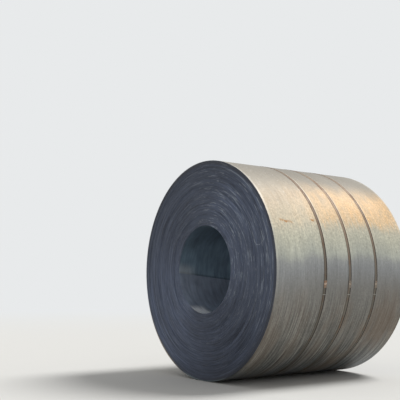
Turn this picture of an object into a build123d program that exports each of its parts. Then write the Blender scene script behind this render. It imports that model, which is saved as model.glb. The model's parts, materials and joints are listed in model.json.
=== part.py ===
from build123d import *
from math import acos, cos, degrees, radians, sin
import os

# A hot-rolled steel coil lying on its side, held by three steel straps round its outside.
# The frame has Y along the coil's axis, from the near end to the far end, and Z up.
# Its origin is on the floor, under the middle of the coil. Sizes are in millimetres and degrees.

# The strip and how it is wound. The outer diameter follows from the number of turns.
# The strip wandered sideways while it was wound, so the turns lie in packs that stand in or out.
strip_width = 1550.0
strip_thickness = 6.0
bore_diameter = 762.0
pack_turns = (5, 11, 8, 12, 6, 10, 7, 13, 9, 4, 11)
wander = 2.5
wander_phase = 137.5

# The strip's head end inside the bore, cut a little askew. The next turn climbs over it.
head_angle = 184.0
head_skew = 6.0
head_ramp = 80.0
head_sections = 6

# The straps, each lapped over itself under a crimped seal. Stations are measured from the near end.
strap_width = 32.0
strap_thickness = 1.0
strap_clearance = 0.3
strap_stations = {"near": 525.0, "middle": 810.0, "far": 1130.0}
lap_length = 170.0
seal_angle = -8.0
seal_length = 60.0
seal_thickness = 1.2
seal_clearance = 0.2
crimp_spacing = 26.0
crimp_width = 8.0
crimp_depth = 3.5

bore_radius = bore_diameter / 2
tail_radius = bore_radius + sum(pack_turns) * strip_thickness
under_tail_radius = tail_radius - strip_thickness
near_end = -strip_width / 2

# The tail end is at the bottom. The coil lies on the tail's edge and on the turn under it,
# and each strap runs straight between the two, over this angle.
tail_bridge = degrees(acos(under_tail_radius / tail_radius))
tail_angle = -90.0 - tail_bridge

strap_inside = under_tail_radius + strap_clearance
strap_outside = strap_inside + strap_thickness
lap_outside = strap_outside + strap_thickness
seal_inside = lap_outside + seal_clearance
seal_outside = seal_inside + seal_thickness
channel_half_width = strap_width / 2 + seal_clearance
seal_half_width = channel_half_width + seal_thickness

axis_height = strap_outside
coil_axis = Axis((0, 0, axis_height), (0, 1, 0))
end_view = Plane(origin=(0, 0, axis_height), x_dir=(1, 0, 0), z_dir=(0, -1, 0))
side_section = Plane(origin=(0, 0, axis_height), x_dir=(0, 1, 0), z_dir=(1, 0, 0))


def polar(radius, angle):
    """A point of the end view, from the coil's axis."""
    return (radius * cos(radians(angle)), radius * sin(radians(angle)))


def wind_last_turn(bridge, offset):
    """Draws the outside of the last turn, offset outwards, anticlockwise from the tail round to it.

    It is three tangent arcs that grow by a third of the strip's thickness each. The first of them
    has its centre on the coil's axis, and starts the angle bridge after the tail.
    """
    arc_angle = 120.0
    point = polar(under_tail_radius + offset, tail_angle + bridge)
    heading = polar(1, tail_angle + bridge + 90)
    size = arc_angle - bridge
    for growth in (0, strip_thickness / 3, strip_thickness * 2 / 3):
        radius = under_tail_radius + growth + offset
        arc = JernArc(start=point, tangent=heading, radius=radius, arc_size=size)
        point = arc @ 1
        heading = arc % 1
        size = arc_angle


def turned_packs():
    """The half section of the packs, as (station, radius) points round its outline."""
    near_side = []
    far_side = []
    inner = bore_radius - strip_thickness
    for pack in range(len(pack_turns)):
        outer = bore_radius + sum(pack_turns[: pack + 1]) * strip_thickness
        if outer == tail_radius:
            outer += strip_thickness
        shift = wander * sin(radians(wander_phase * pack))
        near_side += [(near_end + shift, inner), (near_end + shift, outer)]
        far_side += [(near_end + strip_width + shift, inner), (near_end + strip_width + shift, outer)]
        inner = outer
    return near_side + far_side[::-1]


# The hollow in front of the head end, under the turn that climbs over it.
with BuildPart() as head_recess:
    recess_reach = strip_width / 2 + 2 * wander
    for section in range(head_sections):
        along = -recess_reach + 2 * recess_reach * section / (head_sections - 1)
        angle = head_angle + degrees((along - near_end) * sin(radians(head_skew)) / bore_radius)
        ramp_end = angle - degrees(head_ramp / bore_radius)
        with BuildSketch(end_view.offset(-along)):
            with BuildLine():
                Polyline(
                    polar(bore_radius - strip_thickness / 2, angle),
                    polar(bore_radius + strip_thickness, angle),
                    polar(bore_radius - strip_thickness / 4, ramp_end),
                    close=True,
                )
            make_face()
    loft(ruled=True)

# The wound strip: an outline that steps down at the tail, between turned ends.
with BuildPart() as coil:
    with BuildSketch(end_view):
        with BuildLine():
            wind_last_turn(0, 0)
            Line(polar(tail_radius, tail_angle), polar(under_tail_radius, tail_angle))
        make_face()
        Circle(bore_radius, mode=Mode.SUBTRACT)
    extrude(amount=recess_reach, both=True)
    with BuildSketch(side_section):
        with BuildLine():
            Polyline(*turned_packs(), close=True)
        make_face()
    revolve(axis=coil_axis, mode=Mode.INTERSECT)
    add(head_recess.part, mode=Mode.SUBTRACT)


def strap_outline(offset):
    """Draws a strap's outline, offset outwards from the coil, with its straight at the tail."""
    wind_last_turn(tail_bridge, offset)
    Line(
        polar(tail_radius + offset, tail_angle),
        polar(under_tail_radius + offset, tail_angle + tail_bridge),
    )


def sector_outline(inside, outside, length):
    """Draws a stretch of a flat ring, centred on the seal."""
    span = degrees(length / outside)
    start = seal_angle - span / 2
    end = seal_angle + span / 2
    CenterArc((0, 0), inside, start, span)
    CenterArc((0, 0), outside, start, span)
    Line(polar(inside, start), polar(outside, start))
    Line(polar(inside, end), polar(outside, end))


def make_strap(station):
    """One strap round the coil, with its outer end lapped over its inner end."""
    with BuildPart() as strap:
        with BuildSketch(end_view.offset(-station)):
            with BuildLine():
                strap_outline(strap_clearance + strap_thickness)
            make_face()
            with BuildLine():
                strap_outline(strap_clearance)
            make_face(mode=Mode.SUBTRACT)
            with BuildLine():
                sector_outline(strap_outside, lap_outside, lap_length)
            make_face()
        extrude(amount=strap_width / 2, both=True)
    return strap.part


def make_seal(station):
    """One seal: a channel folded over the lapped ends and notched twice along each edge."""
    outward = polar(1, seal_angle)
    middle = (strap_outside * outward[0], station, axis_height + strap_outside * outward[1])
    with BuildPart() as seal:
        with BuildSketch(end_view.offset(-station)):
            with BuildLine():
                sector_outline(strap_inside, seal_outside, seal_length)
            make_face()
        extrude(amount=seal_half_width, both=True)
        with BuildSketch(end_view.offset(-station)):
            with BuildLine():
                sector_outline(strap_inside - strap_thickness, seal_inside, 2 * seal_length)
            make_face()
        extrude(amount=channel_half_width, both=True, mode=Mode.SUBTRACT)
        with BuildSketch(Plane(origin=middle, x_dir=(0, 1, 0), z_dir=(outward[0], 0, outward[1]))):
            with GridLocations(2 * seal_half_width, crimp_spacing, 2, 2):
                Rectangle(2 * crimp_depth, crimp_width)
        extrude(amount=3 * (seal_outside - strap_outside), both=True, mode=Mode.SUBTRACT)
    return seal.part


pieces = {"coil": coil.part}
for place, station in strap_stations.items():
    pieces["strap_" + place] = make_strap(near_end + station)
    pieces["strap_seal_" + place] = make_seal(near_end + station)

os.makedirs("parts", exist_ok=True)
for name, piece in pieces.items():
    piece.label = name
    export_step(piece, "parts/" + name + ".step")
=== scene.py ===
import json
from math import acos, atan2, cos, degrees, hypot, radians, sin

import bmesh
import bpy
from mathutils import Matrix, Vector, noise


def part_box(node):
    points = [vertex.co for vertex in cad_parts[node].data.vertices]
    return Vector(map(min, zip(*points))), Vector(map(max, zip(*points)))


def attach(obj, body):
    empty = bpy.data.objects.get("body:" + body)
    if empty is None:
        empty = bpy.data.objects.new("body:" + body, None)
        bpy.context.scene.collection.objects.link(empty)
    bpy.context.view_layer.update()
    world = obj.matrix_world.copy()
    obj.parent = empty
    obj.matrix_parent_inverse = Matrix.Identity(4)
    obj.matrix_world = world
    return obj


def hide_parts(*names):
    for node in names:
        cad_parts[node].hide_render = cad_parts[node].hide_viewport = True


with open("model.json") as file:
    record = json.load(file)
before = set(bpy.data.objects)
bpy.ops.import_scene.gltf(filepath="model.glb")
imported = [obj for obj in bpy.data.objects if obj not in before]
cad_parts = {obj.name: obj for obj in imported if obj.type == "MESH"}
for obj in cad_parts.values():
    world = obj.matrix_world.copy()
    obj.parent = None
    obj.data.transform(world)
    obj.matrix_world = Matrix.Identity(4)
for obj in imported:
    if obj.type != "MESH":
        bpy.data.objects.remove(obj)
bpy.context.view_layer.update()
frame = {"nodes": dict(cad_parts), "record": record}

# The coil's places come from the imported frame, in metres
boreMount = next(m for m in frame["record"]["mounts"] if m["name"] == "bore")
boreRadius = boreMount["dims"]["r_mm"] / 1000
stripWidth = boreMount["dims"]["length_mm"] / 1000
nearEnd = boreMount["pos_m"][1]
farEnd = nearEnd + stripWidth
axisHeight = boreMount["pos_m"][2]
coilLow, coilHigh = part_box("coil")
underTailRadius = axisHeight - coilLow[2]


def smoothStep(value):
    value = min(max(value, 0.0), 1.0)
    return value * value * (3 - 2 * value)


# Camera, at the photograph's viewing angle
camera = {
    "place": (5.024, -4.41, 0.774),
    "heading": 54.41,  # degrees, turned left from straight along the coil
    "lookUp": 7.22,
    "lens": 63.8,
    "clipEnd": 400,
}
cameraData = bpy.data.cameras.new("camera")
cameraData.lens = camera["lens"]
cameraData.clip_end = camera["clipEnd"]
cameraObject = bpy.data.objects.new("camera", cameraData)
cameraObject.location = camera["place"]
cameraObject.rotation_euler = (radians(90 + camera["lookUp"]), 0, radians(camera["heading"]))
bpy.context.scene.collection.objects.link(cameraObject)
bpy.context.scene.camera = cameraObject
print("camera set")


# The wound strip
winding = {  # lengths are in metres
    "thickness": 0.006,
    "headAngle": 184.0,  # where the strip starts, degrees anticlockwise from the right
    "headSkew": 6.0,  # degrees that its cut is out of square
    "headRamp": 12.0,  # degrees over which the first turn climbs onto the head
    "headTurns": 20.0,  # turns over which the head's bump and skew fade out
    "tailArc": 120.0,  # degrees of each of the last turn's three arcs
    "packTurns": (5, 11, 8, 12, 6, 10, 7, 13, 9, 4, 11),
    "wander": 0.0025,  # how far a pack stands in or out
    "wanderPhase": 137.5,
    "packBlend": 4.0,  # turns in which the strip moves sideways to the next pack
    "jitter": 0.0007,  # how far one turn stands in or out of its pack
    "jitterPace": 1.7,
    "jitterPlace": (5.3, 0.7),
    "edgeShape": ((0.0, 0.0017), (0.14, 0.0005), (0.5, 0.0), (0.86, 0.0005)),  # (part of a turn, depth)
    "rimStation": 0.004,
    "stations": 9,
    "steps": 120,
    "boreLayers": 1.5,  # layers from the bore that its finish reaches
    "endLean": 0.3,  # a face that leans this much along the coil is part of an end
    "sharpAngle": 62.0,
}
angleTolerance = 0.01  # degrees
lengthTolerance = 0.0001
turnCount = round((underTailRadius - boreRadius) / winding["thickness"])
tailStep = acos(underTailRadius / (underTailRadius + winding["thickness"]))
tailFromHead = 270 - degrees(tailStep) - winding["headAngle"]
packEdges = [sum(winding["packTurns"][:n + 1]) for n in range(len(winding["packTurns"]))]


def lastTurnGrowth(angle):
    # How much of a thickness the outside has gained this far after the tail
    arc = winding["tailArc"]
    if angle < arc:
        return 0.0
    if angle < 2 * arc:
        return (1 - cos(radians(angle - arc))) / 3
    return (2 + cos(radians(angle))) / 3


def packShift(pack):
    return winding["wander"] * sin(radians(winding["wanderPhase"] * pack))


def sideShift(turn):
    # How far the strip stands sideways at this point of its length, counted in turns
    shift = packShift(0)
    for pack, edge in enumerate(packEdges[:-1]):
        step = smoothStep((turn - edge) / winding["packBlend"] + 0.5)
        shift += step * (packShift(pack + 1) - packShift(pack))
    place = Vector((winding["jitterPace"] * turn, *winding["jitterPlace"]))
    shift += winding["jitter"] * noise.noise(place)
    return min(max(shift, coilLow[1] - nearEnd), coilHigh[1] - farEnd)


def spunSection(mesh, turns, sweep, steps):
    # A section through this many turns, with the points of every turn's edge, spun about the axis
    outside = boreRadius + turns * winding["thickness"]
    places = ((boreRadius, nearEnd), (outside, nearEnd), (outside, farEnd), (boreRadius, farEnd))
    corners = [mesh.verts.new((radius, along, 0)) for radius, along in places]
    sides = [mesh.edges.new((corners[n], corners[(n + 1) % 4])) for n in range(4)]
    points = len(winding["edgeShape"])
    bmesh.ops.subdivide_edges(mesh, edges=sides[0::2], cuts=points * turns - 1)
    bmesh.ops.subdivide_edges(mesh, edges=sides[1::2], cuts=winding["stations"] - 2)
    bmesh.ops.spin(
        mesh, geom=mesh.verts[:] + mesh.edges[:], cent=(0, 0, 0), axis=(0, -1, 0),
        angle=radians(sweep), steps=steps,
    )


def windOut(mesh, fromHead, turnLayer):
    # Moves every point of a spun section out to its place in the spiral
    points = len(winding["edgeShape"])
    for vert in mesh.verts:
        # From -1 to 359 degrees, so that the first section's points aren't read as a turn further on
        spun = (degrees(atan2(vert.co.z, vert.co.x)) + 1) % 360 - 1
        angle = fromHead + spun
        number = round((hypot(vert.co.x, vert.co.z) - boreRadius) / winding["thickness"] * points)
        turn, point = divmod(number, points)
        through, depth = winding["edgeShape"][point]
        turnsWound = turn + angle / 360
        outward = smoothStep((turnsWound + through) / winding["headTurns"])
        headBump = smoothStep((angle - 360) / winding["headRamp"] + 1)
        tailBump = lastTurnGrowth((angle - tailFromHead) % 360) - (angle < tailFromHead - angleTolerance)
        if abs(angle - tailFromHead) <= angleTolerance:
            tailBump = 0.0
        layers = turn + through + (1 - outward) * headBump + outward * tailBump
        radius = boreRadius + winding["thickness"] * layers
        shifts = [sideShift(turnsWound)]
        if point == 0:  # between two turns
            shifts.append(sideShift(turnsWound - 1))
        if vert.co.y < nearEnd + lengthTolerance:
            along = nearEnd + max(shifts) + depth
        elif vert.co.y > farEnd - lengthTolerance:
            along = farEnd + min(shifts) - depth
        else:
            station = (vert.co.y - nearEnd) / stripWidth
            margin = 1 / (winding["stations"] - 1)
            along = nearEnd + stripWidth * (station - margin) / (1 - 2 * margin)
            along = min(max(along, nearEnd + winding["rimStation"]), farEnd - winding["rimStation"])
        skew = (along - nearEnd) * sin(radians(winding["headSkew"])) / boreRadius
        heading = radians(winding["headAngle"] + angle) + skew * (1 - outward)
        vert[turnLayer] = turnsWound - (0.5 if point == 0 else 0.0)
        vert.co = (radius * cos(heading), along, axisHeight + radius * sin(heading))


def makeWoundStrip():
    whole = bmesh.new()
    whole.verts.layers.float.new("turn")
    sectors = ((0.0, tailFromHead, turnCount + 1), (tailFromHead, 360 - tailFromHead, turnCount))
    for fromHead, sweep, turns in sectors:
        part = bmesh.new()
        turnLayer = part.verts.layers.float.new("turn")
        spunSection(part, turns, sweep, max(1, round(winding["steps"] * sweep / 360)))
        windOut(part, fromHead, turnLayer)
        holder = bpy.data.meshes.new("sector")
        part.to_mesh(holder)
        part.free()
        whole.from_mesh(holder)
        bpy.data.meshes.remove(holder)
    bmesh.ops.remove_doubles(whole, verts=whole.verts, dist=lengthTolerance / 2)
    # The head's and the tail's end faces are closed
    openEdges = [edge for edge in whole.edges if edge.is_boundary]
    caps = bmesh.ops.holes_fill(whole, edges=openEdges, sides=0)["faces"]
    print("open edges", len(openEdges), "caps", len(caps))
    bmesh.ops.triangulate(whole, faces=caps, ngon_method="EAR_CLIP")
    bmesh.ops.recalc_face_normals(whole, faces=whole.faces)
    print("closed", all(edge.is_manifold for edge in whole.edges), "volume", whole.calc_volume())
    return whole


strip = makeWoundStrip()
for face in strip.faces:
    face.smooth = True
    middle = face.calc_center_median()
    layers = (hypot(middle.x, middle.z - axisHeight) - boreRadius) / winding["thickness"]
    atRim = abs(middle.y) > stripWidth / 2 - winding["rimStation"]
    betweenTurns = atRim and winding["boreLayers"] < layers < turnCount - 0.5
    if abs(face.normal.y) > winding["endLean"] or betweenTurns:
        face.material_index = 1  # the ends
    elif layers < winding["boreLayers"]:
        face.material_index = 2  # the bore
stripMesh = bpy.data.meshes.new("woundStrip")
strip.to_mesh(stripMesh)
strip.free()
stripMesh.set_sharp_from_angle(angle=radians(winding["sharpAngle"]))
woundStrip = bpy.data.objects.new("wound_strip", stripMesh)
bpy.context.scene.collection.objects.link(woundStrip)
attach(woundStrip, "root")
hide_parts("coil")
print("strip wound,", len(stripMesh.polygons), "faces")


# Node helpers
def addNode(tree, kind, inputs=None, **settings):
    node = tree.nodes.new(kind)
    for name, value in settings.items():
        setattr(node, name, value)
    for name, value in (inputs or {}).items():
        if isinstance(value, bpy.types.NodeSocket):
            tree.links.new(value, node.inputs[name])
        else:
            node.inputs[name].default_value = value
    return node


def maths(tree, operation, first, second=0.0):
    return addNode(tree, "ShaderNodeMath", {0: first, 1: second}, operation=operation).outputs[0]


def product(tree, *factors):
    result = factors[0]
    for factor in factors[1:]:
        result = maths(tree, "MULTIPLY", result, factor)
    return result


def total(tree, *terms):
    result = terms[0]
    for term in terms[1:]:
        result = maths(tree, "ADD", result, term)
    return result


def apart(tree, first, second):
    return maths(tree, "ABSOLUTE", maths(tree, "SUBTRACT", first, second))


def band(tree, value, low, high, toLow=0.0, toHigh=1.0, kind="SMOOTHSTEP"):
    # Goes from toLow to toHigh as the value goes from low to high
    inputs = {"Value": value, "From Min": low, "From Max": high, "To Min": toLow, "To Max": toHigh}
    return addNode(tree, "ShaderNodeMapRange", inputs, interpolation_type=kind).outputs[0]


def ramp(tree, value, stops):
    # The stops run from -1 to 1
    node = addNode(tree, "ShaderNodeValToRGB", {0: band(tree, value, -1.0, 1.0, kind="LINEAR")})
    elements = node.color_ramp.elements
    for place, colour in stops[1:-1]:
        elements.new((place + 1) / 2).color = colour
    elements[0].color, elements[-1].color = stops[0][1], stops[-1][1]
    return node.outputs[0]


def vector(tree, x, y, z):
    return addNode(tree, "ShaderNodeCombineXYZ", {0: x, 1: y, 2: z}).outputs[0]


def grain(tree, place, detail, roughness, scale=1.0):
    inputs = {"Vector": place, "Scale": scale, "Detail": detail, "Roughness": roughness}
    return addNode(tree, "ShaderNodeTexNoise", inputs).outputs[0]


def blend(tree, factor, first, second, kind="MIX"):
    inputs = {0: factor, 6: first, 7: second}
    node = addNode(tree, "ShaderNodeMix", inputs, data_type="RGBA", blend_type=kind)
    return node.outputs[2]


def coat(tree, colour, over, *masks):
    return blend(tree, product(tree, *masks), colour, over)


def shade(tree, colour, factor):
    return blend(tree, 1.0, colour, factor, "MULTIPLY")


noiseGain = 2.2  # noise keeps near its middle, so it is stretched by this


def mottle(tree, colour, pattern, amount, calm=1.0):
    # Darkens and lightens the colour by the pattern
    swing = maths(tree, "MULTIPLY", maths(tree, "SUBTRACT", pattern, 0.5), amount * noiseGain)
    return shade(tree, colour, total(tree, product(tree, swing, calm), 1.0))


def tone(red, green, blue):
    # A colour as a paint program writes it, made linear
    return tuple(((value / 255 + 0.055) / 1.055) ** 2.4 for value in (red, green, blue)) + (1.0,)


def coilPlace(tree):
    # Across, along and up from the coil's axis, and the direction round it as a cosine and a sine
    place = addNode(tree, "ShaderNodeTexCoord").outputs["Object"]
    split = addNode(tree, "ShaderNodeSeparateXYZ", {0: place})
    across, along = split.outputs[0], split.outputs[1]
    up = maths(tree, "SUBTRACT", split.outputs[2], axisHeight)
    radius = maths(tree, "SQRT", total(tree, product(tree, across, across), product(tree, up, up)))
    return {
        "across": across, "along": along, "up": up,
        "cosine": maths(tree, "DIVIDE", across, radius), "sine": maths(tree, "DIVIDE", up, radius),
    }


def alongStrip(tree, at, around, along, detail, roughness):
    # Noise counted this many times round the coil's radius and along each metre
    place = vector(
        tree, product(tree, at["cosine"], around), product(tree, at["along"], along),
        product(tree, at["sine"], around),
    )
    return grain(tree, place, detail, roughness)


def roundTurns(tree, at, turn, around, outwards, detail, roughness):
    # Noise counted this many times round the coil's radius and out through each turn
    place = vector(
        tree, product(tree, at["cosine"], around), product(tree, at["sine"], around),
        product(tree, turn, outwards),
    )
    return grain(tree, place, detail, roughness)


def facing(tree, at, angle):
    # One where the coil faces this angle, and minus one opposite
    turned = radians(angle)
    return total(tree, product(tree, at["cosine"], cos(turned)), product(tree, at["sine"], sin(turned)))


def readTurn(tree):
    return addNode(tree, "ShaderNodeAttribute", attribute_name="turn").outputs["Fac"]


def newMaterial(name, metallic, specular=0.5):
    material = bpy.data.materials.new(name)
    material.use_nodes = True
    tree = material.node_tree
    tree.nodes.clear()
    gloss = {"Metallic": metallic, "Specular IOR Level": specular}
    shader = addNode(tree, "ShaderNodeBsdfPrincipled", gloss)
    output = addNode(tree, "ShaderNodeOutputMaterial")
    tree.links.new(shader.outputs[0], output.inputs[0])
    return material, tree, shader


def finishSurface(tree, shader, colour, roughness, height, distance):
    tree.links.new(colour, shader.inputs["Base Color"])
    tree.links.new(roughness, shader.inputs["Roughness"])
    bump = addNode(tree, "ShaderNodeBump", {"Height": height, "Distance": distance, "Strength": 1.0})
    tree.links.new(bump.outputs[0], shader.inputs["Normal"])


strapCentres = {}  # along the coil
for station in ("near", "middle", "far"):
    low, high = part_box("strap_" + station)
    strapCentres[station] = (low[1] + high[1]) / 2

# A range reads (from, to), or (from, to, value there, value there). High, low and height are heights
# round the coil, from the bottom at -1 to the top at 1. Along is metres along the coil from its
# middle, and across is metres to the right of its axis.
outsideFinish = {
    "zones": (  # height, and the colour there: the scale's own tones with a painted highlight band high on the flank, less of it over the top, and painted shade deepening to a painted contact shadow at the bottom
        (-1.0, tone(44, 50, 54)), (-0.93, tone(98, 102, 104)), (-0.76, tone(106, 106, 102)),
        (-0.5, tone(113, 111, 105)), (-0.2, tone(129, 128, 124)), (0.0, tone(142, 144, 145)),
        (0.07, tone(151, 153, 152)), (0.14, tone(176, 178, 167)), (0.28, tone(186, 184, 166)),
        (0.42, tone(189, 181, 160)), (0.62, tone(150, 140, 122)), (0.85, tone(141, 133, 119)),
        (1.0, tone(136, 130, 119)),
    ),
    "zoneWander": (0.2, 0.8, -0.03, 0.03),
    "zoneNear": (-0.7, -0.3, 0.05, 0.0),  # the zones lie lower beside the near end, along
    "rust": tone(219, 182, 132),
    # the painted highlight beside each strap
    "rubbed": tone(222, 212, 192),
    "stain": tone(164, 114, 50),
    "earth": tone(112, 92, 72),
    "scratch": tone(168, 164, 152),
    "speck": tone(92, 74, 62),
    # pale scuffs, and the painted highlight along each rim
    "paint": tone(216, 214, 205),
    "metallic": 0.2,
    "roughness": (0.6, 1.4, 0.48, 0.64),
    "relief": 0.0003,
    "grains": {  # times round the coil, times along a metre, detail, roughness
        "blotches": (1.6, 5.0, 3.0, 0.6),
        "patches": (4.0, 9.0, 4.0, 0.7),
        "marks": (3.0, 62.0, 3.0, 0.65),
        "broadMarks": (2.2, 26.0, 3.0, 0.65),
        "scratches": (7.0, 240.0, 3.0, 0.7),
        "speckles": (60.0, 60.0, 2.0, 0.6),
        "mottling": (40.0, 54.0, 3.0, 0.75),
        "lines": (2.0, 88.0, 2.0, 0.75),
        "ribs": (1.6, 46.0, 2.0, 0.75),
        "dashes": (0.5, 44.0, 2.0, 0.6),
        "scuffs": (30.0, 44.0, 3.0, 0.65),
        "specks": (62.0, 74.0, 3.0, 0.6),
        "nicks": (15.0, 130.0, 2.0, 0.5),
    },
}
rustBand = {
    "streaks": (0.25, 0.75, -0.05, 0.05),
    "lower": (0.33, 0.46),
    "upper": (0.82, 0.62),
    "along": (-0.55, 0.15, 0.2, 1.0),
    "patches": (0.35, 0.65, 0.5, 1.0),
    "across": (-0.5, 0.4, 0.3, 1.0),
}
beyondNear = {  # how the coil's tone changes away from the near end
    "along": (-0.55, -0.1, 1.02),  # the value at its far side comes from the other two
    "high": (0.45, 0.68, 0.92, 0.87),
    "low": (-0.6, -0.85, 1.0, 1.08),
}
mottled = {  # how strongly each kind of grain shows, by height
    "low": (-0.1, -0.5),
    "lowest": (-0.5, -0.75),
    "streaky": (0.05, 0.4, 0.6, 0.35),
    "streakyLow": 0.7,
    "grainy": (0.0, 0.35, 0.5, 1.2),
    "grainyLow": 0.6,
    "grainyTop": (0.45, 0.85, 1.0, 0.5),
    "amounts": {
        "broadMarks": (0.25, "streaky"), "marks": (0.5, "streaky"), "scratches": (0.4, "streaky"),
        "blotches": (0.16, "even"), "speckles": (0.3, "grainy"), "mottling": (0.34, "grainy"),
        "lines": (1.1, "low"), "ribs": (1.6, "lowest"),
    },
}
stains = {
    "places": ((-0.69, -0.53, 0.384), (-0.345, -0.268, 0.41)),  # along from, to, and height
    "wander": (0.2, 0.8, -0.008, 0.008),
    "slope": (-0.008, 0.012),
    "stroke": (0.014, 0.004),
    "dashes": (0.4, 0.55, 0.5, 1.0),
    "taper": 0.03,
    "strength": 0.9,
}
wornFlank = {
    "earthLow": (0.0, -0.45),
    "earthBlotches": (0.42, 0.62),
    "earthAlong": (-0.3, 0.4, 0.28, 0.5),
    "scratches": (0.6, 0.74),
    "scratchesLow": (0.1, -0.4),
    "scratchStrength": 0.7,
    "scuffs": (0.62, 0.7),
    "scuffPatches": (0.5, 0.62),
    "scuffsHigh": (0.0, 0.25, 0.15, 0.6),
    "specks": (0.67, 0.73),
    "speckPatches": (0.45, 0.6),
    "speckStrength": 0.6,
    "nicks": (0.67, 0.71),
    "nickPatches": (0.45, 0.58),
    "nickStrength": 0.65,
}
paintedHighlights = {
    "besideStrap": 0.0205,  # from the strap's middle to the middle of the painted highlight line
    "line": (0.006, 0.003),
    "lineHeight": (0.0, 0.4, 0.1, 0.6),
    "linePatches": (0.4, 0.55, 0.4, 1.0),
    "rim": (0.026, 0.012),  # from the end, where it starts and where it is full
    "rimHigh": (-0.4, 0.3, 0.0, 0.3),
}
rightSide = (0.0, 0.1)  # across, for what only the right side of the coil has


def makeOutside():
    finish = outsideFinish
    material, tree, shader = newMaterial("coilOutside", finish["metallic"])
    at = coilPlace(tree)
    along, sine = at["along"], at["sine"]
    grains = {name: alongStrip(tree, at, *counts) for name, counts in finish["grains"].items()}
    height = total(tree, sine, band(tree, grains["blotches"], *finish["zoneWander"]))
    height = total(tree, height, band(tree, along, *finish["zoneNear"]))
    # Painted light and shade by height, over the scale's own tones: a painted highlight band high on the
    # flank, and painted shade and contact shadow low down
    colour = ramp(tree, height, finish["zones"])
    # Light rust on the upper flank, more towards the far end, that runs down in streaks
    streaked = total(tree, height, band(tree, grains["marks"], *rustBand["streaks"]))
    colour = coat(
        tree, colour, finish["rust"], band(tree, streaked, *rustBand["lower"]),
        band(tree, height, *rustBand["upper"]), band(tree, along, *rustBand["along"]),
        band(tree, grains["patches"], *rustBand["patches"]), band(tree, at["across"], *rustBand["across"]),
    )
    beyond = product(tree, band(tree, sine, *beyondNear["high"]), band(tree, sine, *beyondNear["low"]))
    colour = shade(tree, colour, band(tree, along, *beyondNear["along"], beyond))
    # Rolling marks, scratches and mottling of the scale
    low = band(tree, sine, *mottled["low"])
    grainy = total(
        tree, band(tree, sine, *mottled["grainy"]), product(tree, low, mottled["grainyLow"]),
    )
    calms = {
        "even": 1.0, "low": low, "lowest": band(tree, sine, *mottled["lowest"]),
        "streaky": total(
            tree, band(tree, sine, *mottled["streaky"]), product(tree, low, mottled["streakyLow"]),
        ),
        "grainy": product(tree, grainy, band(tree, sine, *mottled["grainyTop"])),
    }
    for name, (amount, calm) in mottled["amounts"].items():
        colour = mottle(tree, colour, grains[name], amount, calms[calm])
    # Rusty stains that run along the strip's width
    for first, last, place in stains["places"]:
        wander = total(tree, sine, band(tree, grains["dashes"], *stains["wander"]))
        slope = band(tree, along, first, last, *stains["slope"], kind="LINEAR")
        fromLine = apart(tree, total(tree, wander, slope), place)
        fromMiddle = apart(tree, along, (first + last) / 2)
        half = (last - first) / 2
        colour = coat(
            tree, colour, finish["stain"], band(tree, fromLine, *stains["stroke"]),
            band(tree, grains["dashes"], *stains["dashes"]),
            band(tree, fromMiddle, half, half - stains["taper"]),
            band(tree, at["across"], *rightSide), stains["strength"],
        )
    # Low on the flank it is earthier, with bright scratches along the strip
    colour = coat(
        tree, colour, finish["earth"], band(tree, sine, *wornFlank["earthLow"]),
        band(tree, grains["blotches"], *wornFlank["earthBlotches"]),
        band(tree, along, *wornFlank["earthAlong"]),
    )
    colour = coat(
        tree, colour, finish["scratch"], band(tree, grains["scratches"], *wornFlank["scratches"]),
        band(tree, sine, *wornFlank["scratchesLow"]), wornFlank["scratchStrength"],
    )
    # Pale scuffs on the upper flank, small rust specks, and dark nicks along the strip
    colour = coat(
        tree, colour, finish["paint"], band(tree, grains["scuffs"], *wornFlank["scuffs"]),
        band(tree, grains["patches"], *wornFlank["scuffPatches"]),
        band(tree, sine, *wornFlank["scuffsHigh"]),
    )
    colour = coat(
        tree, colour, finish["speck"], band(tree, grains["specks"], *wornFlank["specks"]),
        band(tree, grains["patches"], *wornFlank["speckPatches"]), wornFlank["speckStrength"],
    )
    colour = coat(
        tree, colour, finish["speck"], band(tree, grains["nicks"], *wornFlank["nicks"]),
        band(tree, grains["patches"], *wornFlank["nickPatches"]), wornFlank["nickStrength"],
    )
    # Painted highlight: a lighter line along the far side of each strap, on the upper flank
    for centre in strapCentres.values():
        beside = apart(tree, along, centre + paintedHighlights["besideStrap"])
        colour = coat(
            tree, colour, finish["rubbed"], band(tree, beside, *paintedHighlights["line"]),
            band(tree, height, *paintedHighlights["lineHeight"]),
            band(tree, grains["patches"], *paintedHighlights["linePatches"]),
        )
    # Painted highlight: a brighter rim beside each end, strongest high up
    rimStart, rimFull = (stripWidth / 2 - inside for inside in paintedHighlights["rim"])
    colour = coat(
        tree, colour, finish["paint"], band(tree, maths(tree, "ABSOLUTE", along), rimStart, rimFull),
        band(tree, sine, *paintedHighlights["rimHigh"]),
    )
    fine = total(tree, grains["marks"], grains["scratches"])
    relief = total(tree, grains["marks"], total(tree, grains["scratches"], grains["speckles"]))
    finishSurface(tree, shader, colour, band(tree, fine, *finish["roughness"]), relief, finish["relief"])
    return material


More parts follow.
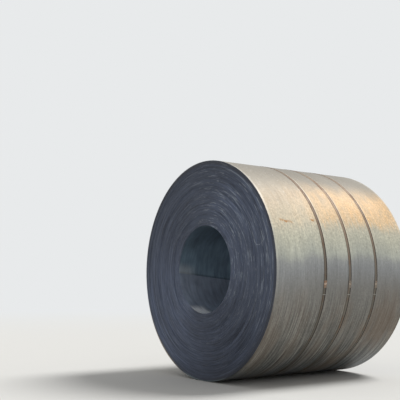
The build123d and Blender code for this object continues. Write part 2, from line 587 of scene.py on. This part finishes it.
endFinish = {
    "steel": tone(80, 89, 109),
    "dark": tone(49, 56, 73),
    "bright": tone(148, 156, 166),
    "lastTurn": tone(47, 49, 57),
    "worn": tone(196, 176, 140),
    "underside": tone(112, 124, 126),
    "chalk": tone(176, 182, 188),
    "metallic": 0.3,
    "roughness": (0.3, 0.7, 0.42, 0.6),
    "relief": 0.0004,
    "grains": {  # times round the coil, times through each turn, detail, roughness
        "each": (2.4, 1.15, 3.0, 0.7),
        "strokes": (4.0, 0.66, 3.0, 0.75),
        "arcs": (1.0, 0.44, 3.0, 0.8),
        "groups": (2.2, 0.28, 3.0, 0.65),
        "broad": (1.3, 0.03, 1.0, 0.5),
    },
    "steelTurns": (0.3, 0.6),
}
rubbedRound = {  # the edges are rubbed unevenly round the coil, most on two opposite sides
    "side": 60.0,  # twice the angle of the first of them
    "lively": (-1.0, 1.0, 0.75, 1.2),
    "livelyLow": (-0.3, -0.8, 0.0, 0.4),
    "arcs": 0.95,
    "arcsInside": (0.0, 45.0, 0.7, 1.0),  # turns
    "groups": 0.2,
    "groupsInside": (0.0, 45.0, 0.3, 1.0),  # turns
    "broad": 0.25,
    "top": (0.2, 0.9, 1.0, 0.94),
    "level": (-1.0, 1.0, 0.78, 1.18),
}
endRim = {
    "shadeTurns": (50.0, 84.0),
    "shadeHigh": (-0.4, 0.0),
    "shadeSides": (0.45, 0.95, 0.11, 0.0),
    "shadeRight": (0.8, 1.0, 0.0, 0.05),
    "lastTurns": (7.0, 3.0),  # turns from the outside, where they start and where they are full
    "lastRight": (-0.4, 0.3, 0.35, 0.7),
    "lastSides": (-0.3, -0.9),
    "lastHigh": (0.0, 0.5, 0.0, 0.35),
    "outermost": (1.6, 1.2),  # turns from the outside
    "bottom": (-0.93, -0.97),
    "bottomStrength": 0.8,
    "wornLeft": (-0.3, -0.6),
    "wornLow": (-0.3, -0.6),
    "wornEach": (0.35, 0.55, 0.3, 1.0),
    "wornStrength": 0.5,
}
brightTurns = {
    "facing": 32.0,  # degrees; the side with the most of them
    "strokes": (0.5, 0.64),
    "groups": (0.42, 0.58),
    "side": (0.1, 0.9, 0.16, 0.75),
}
chalkArc = {
    "centre": (0.738, 0.235),  # across, and up from the axis
    "radius": 0.06,
    "halfStroke": 0.0035,
    "upper": (0.0, -0.02),
    "nearEnd": (0.0, -0.1),
    "worn": (0.35, 0.6, 0.0, 0.6),
}


def makeEnds():
    finish = endFinish
    material, tree, shader = newMaterial("coilEnds", finish["metallic"])
    at = coilPlace(tree)
    cosine, sine = at["cosine"], at["sine"]
    turn = readTurn(tree)
    grains = {name: roundTurns(tree, at, turn, *counts) for name, counts in finish["grains"].items()}
    colour = blend(tree, band(tree, grains["each"], *finish["steelTurns"]), finish["dark"], finish["steel"])
    # The cosine and sine of twice the angle round the coil make two opposite sides
    doubleCosine = maths(tree, "SUBTRACT", product(tree, cosine, cosine), product(tree, sine, sine))
    doubleSine = product(tree, cosine, sine, 2.0)
    sides = facing(tree, {"cosine": doubleCosine, "sine": doubleSine}, rubbedRound["side"])
    lively = total(
        tree, band(tree, sides, *rubbedRound["lively"]), band(tree, sine, *rubbedRound["livelyLow"]),
    )
    arcsCalm = product(tree, lively, band(tree, turn, *rubbedRound["arcsInside"]))
    groupsCalm = band(tree, turn, *rubbedRound["groupsInside"])
    colour = mottle(tree, colour, grains["arcs"], rubbedRound["arcs"], arcsCalm)
    colour = mottle(tree, colour, grains["groups"], rubbedRound["groups"], groupsCalm)
    colour = mottle(tree, colour, grains["broad"], rubbedRound["broad"])
    colour = shade(tree, colour, band(tree, sine, *rubbedRound["top"]))
    rimShade = product(
        tree, band(tree, turn, *endRim["shadeTurns"]), band(tree, sine, *endRim["shadeHigh"]),
        band(tree, sides, *endRim["shadeSides"]),
    )
    rimShade = total(tree, rimShade, band(tree, cosine, *endRim["shadeRight"]))
    colour = shade(tree, colour, maths(tree, "SUBTRACT", 1.0, rimShade))
    colour = shade(tree, colour, band(tree, sides, *rubbedRound["level"]))
    # Turns that stand proud are lighter, partly rubbed bare steel and partly painted glints, mostly high on
    # the right of the coil
    colour = coat(
        tree, colour, finish["bright"], band(tree, grains["strokes"], *brightTurns["strokes"]),
        band(tree, grains["groups"], *brightTurns["groups"]),
        band(tree, facing(tree, at, brightTurns["facing"]), *brightTurns["side"]),
    )
    # Painted shade: the last turns' edges are darkened on the right and a little at the upper left, as a
    # shadow line round the rim. They are lighter at the bottom, and worn lighter low on the left
    last = band(tree, turn, *(turnCount - inside for inside in endRim["lastTurns"]))
    upperLeft = product(tree, band(tree, sides, *endRim["lastSides"]), band(tree, sine, *endRim["lastHigh"]))
    darkness = total(tree, band(tree, cosine, *endRim["lastRight"]), upperLeft)
    colour = coat(tree, colour, finish["lastTurn"], last, darkness)
    outermost = band(tree, turn, *(turnCount - inside for inside in endRim["outermost"]))
    colour = coat(
        tree, colour, finish["underside"], outermost, band(tree, sine, *endRim["bottom"]),
        endRim["bottomStrength"],
    )
    lowLeft = product(
        tree, band(tree, cosine, *endRim["wornLeft"]), band(tree, sine, *endRim["wornLow"]),
        band(tree, grains["each"], *endRim["wornEach"]),
    )
    colour = coat(tree, colour, finish["worn"], outermost, lowLeft, endRim["wornStrength"])
    # A faint chalk stroke
    sideways, upwards = (
        maths(tree, "SUBTRACT", at[way], place) for way, place in zip(("across", "up"), chalkArc["centre"])
    )
    fromCentre = vector(tree, sideways, upwards, 0.0)
    away = addNode(tree, "ShaderNodeVectorMath", {0: fromCentre}, operation="LENGTH").outputs[1]
    half = chalkArc["halfStroke"]
    colour = coat(
        tree, colour, finish["chalk"],
        band(tree, apart(tree, away, chalkArc["radius"]), half, half / 3),
        band(tree, upwards, *chalkArc["upper"]), band(tree, at["along"], *chalkArc["nearEnd"]),
        band(tree, grains["each"], *chalkArc["worn"]),
    )
    roughness = band(tree, grains["each"], *finish["roughness"])
    finishSurface(tree, shader, colour, roughness, grains["each"], finish["relief"])
    return material


boreFinish = {
    "steel": tone(108, 127, 142),
    "headSteel": tone(142, 152, 170),
    "dark": tone(88, 104, 119),
    # light worn steel, for a scuff and for the painted light low in the bore beside each end
    "worn": tone(238, 241, 245),
    "grime": tone(40, 46, 50),
    "metallic": 0.25,
    "roughness": (0.3, 0.7, 0.4, 0.55),
    "relief": 0.0004,
    "marks": (2.4, 34.0, 3.0, 0.6),
    "blotches": (2.0, 5.0, 3.0, 0.6),
    "steelMarks": (0.3, 0.7),
    "blotchAmount": 0.35,
    "markAmount": 0.5,
    "markLow": (0.1, -0.3),
}
headLightShadeAndScuff = {  # by turn, from -0.5 at the head's edge to 0.5 one turn on, where it meets that edge again
    "face": (-0.2, -0.42),
    "behind": (-0.25, 0.2, 1.0, 0.64),
    "before": (0.28, 0.5, 1.0, 2.2),
    "grime": (0.49, 0.4965, 0.0, 0.4),
    "scuff": (0.45, 0.49),
    "scuffAlong": (-0.55, -0.7),
    "scuffStrength": 0.3,
}
boreLitPatch = {
    "reach": (0.18, 0.08),  # from the end, where it starts and where it is full
    "low": (-0.8, -0.93),
    "marks": (0.3, 0.6, 0.5, 1.0),
}


def makeBore():
    finish = boreFinish
    material, tree, shader = newMaterial("coilBore", finish["metallic"])
    at = coilPlace(tree)
    along, sine = at["along"], at["sine"]
    turn = readTurn(tree)
    marks = alongStrip(tree, at, *finish["marks"])
    blotches = alongStrip(tree, at, *finish["blotches"])
    colour = blend(tree, band(tree, marks, *finish["steelMarks"]), finish["dark"], finish["steel"])
    # Painted light and shade: the head's inner face is lighter and fades along the first turn, the bore
    # beyond it is darker, and it is lighter again as it comes round to the head's edge
    colour = coat(tree, colour, finish["headSteel"], band(tree, turn, *headLightShadeAndScuff["face"]))
    colour = shade(tree, colour, band(tree, turn, *headLightShadeAndScuff["behind"]))
    colour = shade(tree, colour, band(tree, turn, *headLightShadeAndScuff["before"]))
    # Painted shadow along the step at the head's edge
    colour = coat(tree, colour, finish["grime"], band(tree, turn, *headLightShadeAndScuff["grime"]))
    # Scuffed above the head's edge, beside the near end
    colour = coat(
        tree, colour, finish["worn"], band(tree, along, *headLightShadeAndScuff["scuffAlong"]),
        band(tree, turn, *headLightShadeAndScuff["scuff"]), headLightShadeAndScuff["scuffStrength"],
    )
    colour = mottle(tree, colour, blotches, finish["blotchAmount"])
    colour = mottle(tree, colour, marks, finish["markAmount"], band(tree, sine, *finish["markLow"]))
    # Painted light: a lit patch at the bottom of the bore, beside each end
    rimStart, rimFull = (stripWidth / 2 - inside for inside in boreLitPatch["reach"])
    colour = coat(
        tree, colour, finish["worn"], band(tree, maths(tree, "ABSOLUTE", along), rimStart, rimFull),
        band(tree, sine, *boreLitPatch["low"]), band(tree, marks, *boreLitPatch["marks"]),
    )
    finishSurface(tree, shader, colour, band(tree, marks, *finish["roughness"]), marks, finish["relief"])
    return material


for makeMaterial in (makeOutside, makeEnds, makeBore):
    stripMesh.materials.append(makeMaterial())
print("coil materials made")


strapFinish = {
    "zones": (
        (-1.0, tone(92, 88, 80)), (-0.3, tone(118, 112, 102)), (0.0, tone(126, 117, 106)),
        (0.35, tone(146, 126, 106)), (0.7, tone(158, 132, 106)), (1.0, tone(156, 134, 110)),
    ),
    # the painted shade along the strap's edges
    "edge": tone(40, 34, 31),
    "level": {"near": 0.72, "middle": 0.92, "far": 0.84},
    "levelMarks": (0.3, 0.7),
    "levelSwing": 0.16,
    "rust": tone(132, 96, 70),
    "rustPatches": (0.5, 0.7, 0.0, 0.55),
    "cut": tone(196, 198, 192),
    "metallic": 0.2,
    "specular": 0.3,
    "roughness": (0.3, 0.7, 0.5, 0.68),
    "relief": 0.0003,
    "marks": (5.0, 300.0, 3.0, 0.6),
    "patches": (9.0, 14.0, 3.0, 0.6),
}
strapEdges = {  # metres from the strap's middle, along the coil
    "far": (0.001, 0.011),
    "farDarkness": (0.2, 0.8, 0.9, 0.6),  # by height
    "near": (-0.012, -0.0155, 0.0, 0.5),
    "lapEnd": -0.227,  # height round the coil of the band's cut end
    "cut": (0.0035, 0.001),
    "cutStrength": 0.55,
}


def makeStrapSteel(name, level, centre):
    finish = strapFinish
    material, tree, shader = newMaterial(name, finish["metallic"], finish["specular"])
    at = coilPlace(tree)
    marks = alongStrip(tree, at, *finish["marks"])
    patches = alongStrip(tree, at, *finish["patches"])
    colour = ramp(tree, at["sine"], finish["zones"])
    colour = coat(tree, colour, finish["rust"], band(tree, patches, *finish["rustPatches"]))
    swing = finish["levelSwing"]
    colour = shade(tree, colour, band(tree, marks, *finish["levelMarks"], level - swing, level + swing))
    # Painted shade: dark lines along its edges where it meets the coil, the far one darker, most of all low
    # down
    aside = maths(tree, "SUBTRACT", at["along"], centre)
    darkness = band(tree, at["sine"], *strapEdges["farDarkness"])
    colour = coat(tree, colour, finish["edge"], band(tree, aside, *strapEdges["far"], 0.0, darkness))
    colour = coat(tree, colour, finish["edge"], band(tree, aside, *strapEdges["near"]))
    # Painted glint on the band's bright cut end, where the lap ends
    fromCut = apart(tree, at["sine"], strapEdges["lapEnd"])
    colour = coat(
        tree, colour, finish["cut"], band(tree, fromCut, *strapEdges["cut"]),
        band(tree, at["across"], *rightSide), strapEdges["cutStrength"],
    )
    finishSurface(tree, shader, colour, band(tree, patches, *finish["roughness"]), marks, finish["relief"])
    return material


sealFinish = {
    "steel": tone(128, 118, 106),
    "rust": tone(150, 112, 84),
    "rubbed": tone(192, 176, 160),
    "edge": tone(64, 54, 48),
    "edgeReach": (0.0125, 0.0165, 0.0, 0.8),  # from the seal's middle, along
    "metallic": 0.3,
    "roughness": (0.3, 0.7, 0.35, 0.6),
    "relief": 0.0003,
    "patches": (4.0, 0.65, 52.0),  # detail, roughness, scale
    "rustPatches": (0.62, 0.82),
    "wear": {"near": (0.26, 0.8), "middle": (0.08, 0.4), "far": (0.1, 0.5)},  # rust, and the painted highlight's strength
    "rubbedAt": -0.136,  # height round the coil of the painted highlight line across the seal
    "rubbedWander": (0.2, 0.8, -0.007, 0.007),
    "rubbedStroke": (0.0085, 0.003),
    "rubbedReach": (0.0165, 0.012),
}


def makeSealSteel(name, rustiness, rubbed, centre):
    finish = sealFinish
    material, tree, shader = newMaterial(name, finish["metallic"])
    at = coilPlace(tree)
    patches = grain(tree, addNode(tree, "ShaderNodeTexCoord").outputs["Object"], *finish["patches"])
    rusty = band(tree, patches, *(place - rustiness for place in finish["rustPatches"]))
    colour = blend(tree, rusty, finish["steel"], finish["rust"])
    aside = apart(tree, at["along"], centre)
    # Painted shade along the seal's sides, like the strap's edges
    colour = coat(tree, colour, finish["edge"], band(tree, aside, *finish["edgeReach"]))
    # Painted highlight: a bright line across the seal, over its crimp
    wander = total(tree, at["sine"], band(tree, patches, *finish["rubbedWander"]))
    colour = coat(
        tree, colour, finish["rubbed"],
        band(tree, apart(tree, wander, finish["rubbedAt"]), *finish["rubbedStroke"]),
        band(tree, aside, *finish["rubbedReach"]), rubbed,
    )
    finishSurface(tree, shader, colour, band(tree, patches, *finish["roughness"]), patches, finish["relief"])
    return material


for station, centre in strapCentres.items():
    strapSteel = makeStrapSteel("strapSteel" + station.capitalize(), strapFinish["level"][station], centre)
    frame["nodes"]["strap_" + station].material_slots[0].material = strapSteel
    sealSteel = makeSealSteel("sealSteel" + station.capitalize(), *sealFinish["wear"][station], centre)
    frame["nodes"]["strap_seal_" + station].material_slots[0].material = sealSteel
print("strap materials made")


# Floor and soft light
studio = {
    "floorSize": 200.0,
    "floorSides": 96,
    "floorTone": tone(216, 215, 211),
    "floorRoughness": 0.9,
    "floorSpecular": 0.2,
    "background": tone(232, 234, 235),
    "skyStrength": 0.45,
    "floorFade": (3.5, 22.0),  # how far out the floor starts and ends its fade into the background
    "sunStrength": 2.7,
    "sunAngle": 24.0,  # a wide sun, for soft shadows
    "sunFrom": (74.0, 56.0),  # azimuth from +X towards +Y, and elevation
}


def seenDirectly(tree):
    # One for rays from the camera, and for what metal and glass show of them
    rays = addNode(tree, "ShaderNodeLightPath").outputs
    seen = maths(tree, "MAXIMUM", rays["Is Camera Ray"], rays["Is Transmission Ray"])
    return maths(tree, "MAXIMUM", seen, rays["Is Glossy Ray"])


floorMesh = bmesh.new()
bmesh.ops.create_circle(floorMesh, cap_ends=True, radius=studio["floorSize"], segments=studio["floorSides"])
floorData = bpy.data.meshes.new("floor")
floorMesh.to_mesh(floorData)
floorMesh.free()
floorObject = bpy.data.objects.new("floor", floorData)
bpy.context.scene.collection.objects.link(floorObject)
floorMaterial, floorTree, floorShader = newMaterial("floorPale", 0.0, studio["floorSpecular"])
floorShader.inputs["Base Color"].default_value = studio["floorTone"]
floorShader.inputs["Roughness"].default_value = studio["floorRoughness"]
# Seen from the camera, the far floor fades into the background
floorPlace = addNode(floorTree, "ShaderNodeTexCoord").outputs["Object"]
floorAway = addNode(floorTree, "ShaderNodeVectorMath", {0: floorPlace}, operation="LENGTH").outputs[1]
floorFade = band(floorTree, floorAway, *studio["floorFade"])
floorFade = product(floorTree, floorFade, seenDirectly(floorTree))
farFloor = addNode(floorTree, "ShaderNodeEmission", {"Color": studio["background"], "Strength": 1.0})
floorMix = addNode(
    floorTree, "ShaderNodeMixShader", {0: floorFade, 1: floorShader.outputs[0], 2: farFloor.outputs[0]},
)
floorOutput = next(node for node in floorTree.nodes if node.type == "OUTPUT_MATERIAL")
floorTree.links.new(floorMix.outputs[0], floorOutput.inputs[0])
floorData.materials.append(floorMaterial)

sunData = bpy.data.lights.new("sun", "SUN")
sunData.energy = studio["sunStrength"]
sunData.angle = radians(studio["sunAngle"])
sunObject = bpy.data.objects.new("sun", sunData)
azimuth, elevation = (radians(value) for value in studio["sunFrom"])
towardsSun = Vector((cos(azimuth) * cos(elevation), sin(azimuth) * cos(elevation), sin(elevation)))
sunObject.rotation_euler = towardsSun.to_track_quat("Z", "Y").to_euler()
bpy.context.scene.collection.objects.link(sunObject)

world = bpy.data.worlds.new("world")
world.use_nodes = True
worldTree = world.node_tree
worldTree.nodes.clear()
sky = addNode(worldTree, "ShaderNodeBackground", {"Color": (1, 1, 1, 1), "Strength": studio["skyStrength"]})
backdrop = addNode(worldTree, "ShaderNodeBackground", {"Color": studio["background"], "Strength": 1.0})
direct = seenDirectly(worldTree)
chosen = addNode(worldTree, "ShaderNodeMixShader", {0: direct, 1: sky.outputs[0], 2: backdrop.outputs[0]})
addNode(worldTree, "ShaderNodeOutputWorld", {0: chosen.outputs[0]})
bpy.context.scene.world = world
bpy.context.scene.view_settings.view_transform = "Standard"
print("studio lit")
